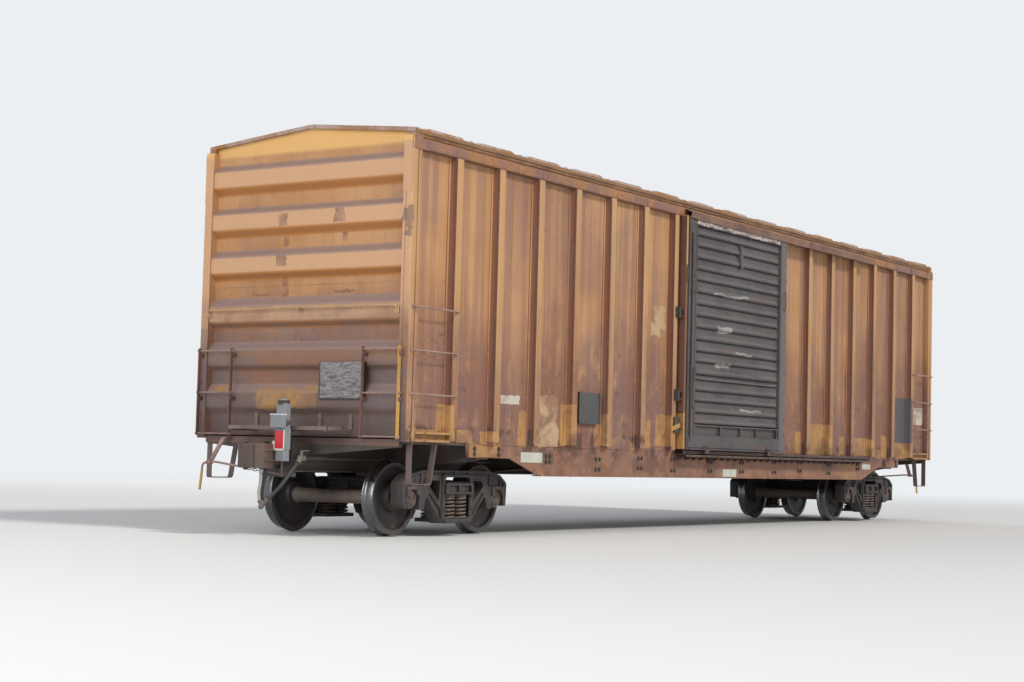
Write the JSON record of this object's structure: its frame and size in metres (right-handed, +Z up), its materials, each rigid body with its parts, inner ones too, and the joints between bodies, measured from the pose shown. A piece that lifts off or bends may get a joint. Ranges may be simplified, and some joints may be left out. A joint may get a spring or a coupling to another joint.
{
  "type": "railroad boxcar",
  "caption": "Exterior-post railroad boxcar with one sliding door on each side, corrugated ends, swivelling two-axle trucks, couplers, ladders and brake gear.",
  "frame": {"origin": "middle of the car's length and width, at the level of the wheel flanges' tips", "axes": "+X from end A to end B (hand brake end), +Y to the left side, +Z up"},
  "size_m": [17.4196, 3.392, 4.7764],
  "materials": {
    "body_paint": "faded ochre-orange paint with rust and dirt",
    "roof_metal": "weathered roof sheets with rust",
    "door_paint": "dark grey-brown paint, dusty and scraped",
    "track_metal": "rusty, greasy steel",
    "underframe": "dark paint under road dirt",
    "floor_wood": "worn planks",
    "cast_steel": "grey-brown castings",
    "board_wood": "weathered grey plywood",
    "marker_shell": "grey housing with a red reflector",
    "hose_rubber": "dusty rubber",
    "wheel_steel": "rust-brown with a bright tread"
  },
  "bodies": {
    "car_body": {"air_reservoir": "underframe", "angle_cocks": "cast_steel", "body_bolsters": "underframe", "brake_cylinder": "underframe", "brake_hose_a": "hose_rubber", "brake_pipe": "underframe", "center_sill": "underframe", "control_valve": "underframe", "coupler_a": "cast_steel", "coupler_b": "cast_steel", "crossbearers": "underframe", "crossover_platforms": "underframe", "door_keepers": "track_metal", "door_tracks_left": "track_metal", "door_tracks_right": "track_metal", "end_handholds": "body_paint", "end_ladders": "body_paint", "end_marker": "marker_shell", "end_wall_a": "body_paint", "end_wall_b": "body_paint", "floor": "floor_wood", "glad_hands": "cast_steel", "hand_brake_housing": "underframe", "hand_brake_wheel": "underframe", "marker_hose": "hose_rubber", "placard_boards": "board_wood", "roof": "roof_metal", "side_grab_irons": "body_paint", "side_sill_left": "body_paint", "side_sill_right": "body_paint", "side_wall_left_a": "body_paint", "side_wall_left_b": "body_paint", "side_wall_right_a": "body_paint", "side_wall_right_b": "body_paint", "sill_steps": "underframe", "top_chord_left": "body_paint", "top_chord_right": "body_paint", "uncoupling_levers": "underframe"},
    "door_right": {"door_fittings_right": "door_paint", "door_right": "door_paint"},
    "door_left": {"door_fittings_left": "door_paint", "door_left": "door_paint"},
    "truck_a": {"brake_beams_a": "cast_steel", "side_frames_a": "cast_steel", "springs_a": "cast_steel", "truck_bolster_a": "cast_steel"},
    "truck_b": {"brake_beams_b": "cast_steel", "side_frames_b": "cast_steel", "springs_b": "cast_steel", "truck_bolster_b": "cast_steel"},
    "wheelset_1": {"wheelset_1": "wheel_steel"},
    "wheelset_2": {"wheelset_2": "wheel_steel"},
    "wheelset_3": {"wheelset_3": "wheel_steel"},
    "wheelset_4": {"wheelset_4": "wheel_steel"}
  },
  "joints": [
    {"name": "door_right_slide", "type": "slide", "parent": "car_body", "child": "door_right", "axis": [1, 0, 0], "range_m": [0, 3.1]},
    {"name": "door_left_slide", "type": "slide", "parent": "car_body", "child": "door_left", "axis": [-1, 0, 0], "range_m": [0, 3.1]},
    {"name": "truck_a_swivel", "type": "hinge", "parent": "car_body", "child": "truck_a", "pos_m": [-6.223, 0, 0.6794], "axis": [0, 0, 1], "range_deg": [-8, 8]},
    {"name": "truck_b_swivel", "type": "hinge", "parent": "car_body", "child": "truck_b", "pos_m": [6.223, 0, 0.6794], "axis": [0, 0, 1], "range_deg": [-8, 8]},
    {"name": "wheelset_1_spin", "type": "hinge", "parent": "truck_a", "child": "wheelset_1", "pos_m": [-7.0866, 0, 0.4445], "axis": [0, 1, 0], "continuous": true},
    {"name": "wheelset_2_spin", "type": "hinge", "parent": "truck_a", "child": "wheelset_2", "pos_m": [-5.3594, 0, 0.4445], "axis": [0, 1, 0], "continuous": true},
    {"name": "wheelset_3_spin", "type": "hinge", "parent": "truck_b", "child": "wheelset_3", "pos_m": [5.3594, 0, 0.4445], "axis": [0, 1, 0], "continuous": true},
    {"name": "wheelset_4_spin", "type": "hinge", "parent": "truck_b", "child": "wheelset_4", "pos_m": [7.0866, 0, 0.4445], "axis": [0, 1, 0], "continuous": true}
  ]
}
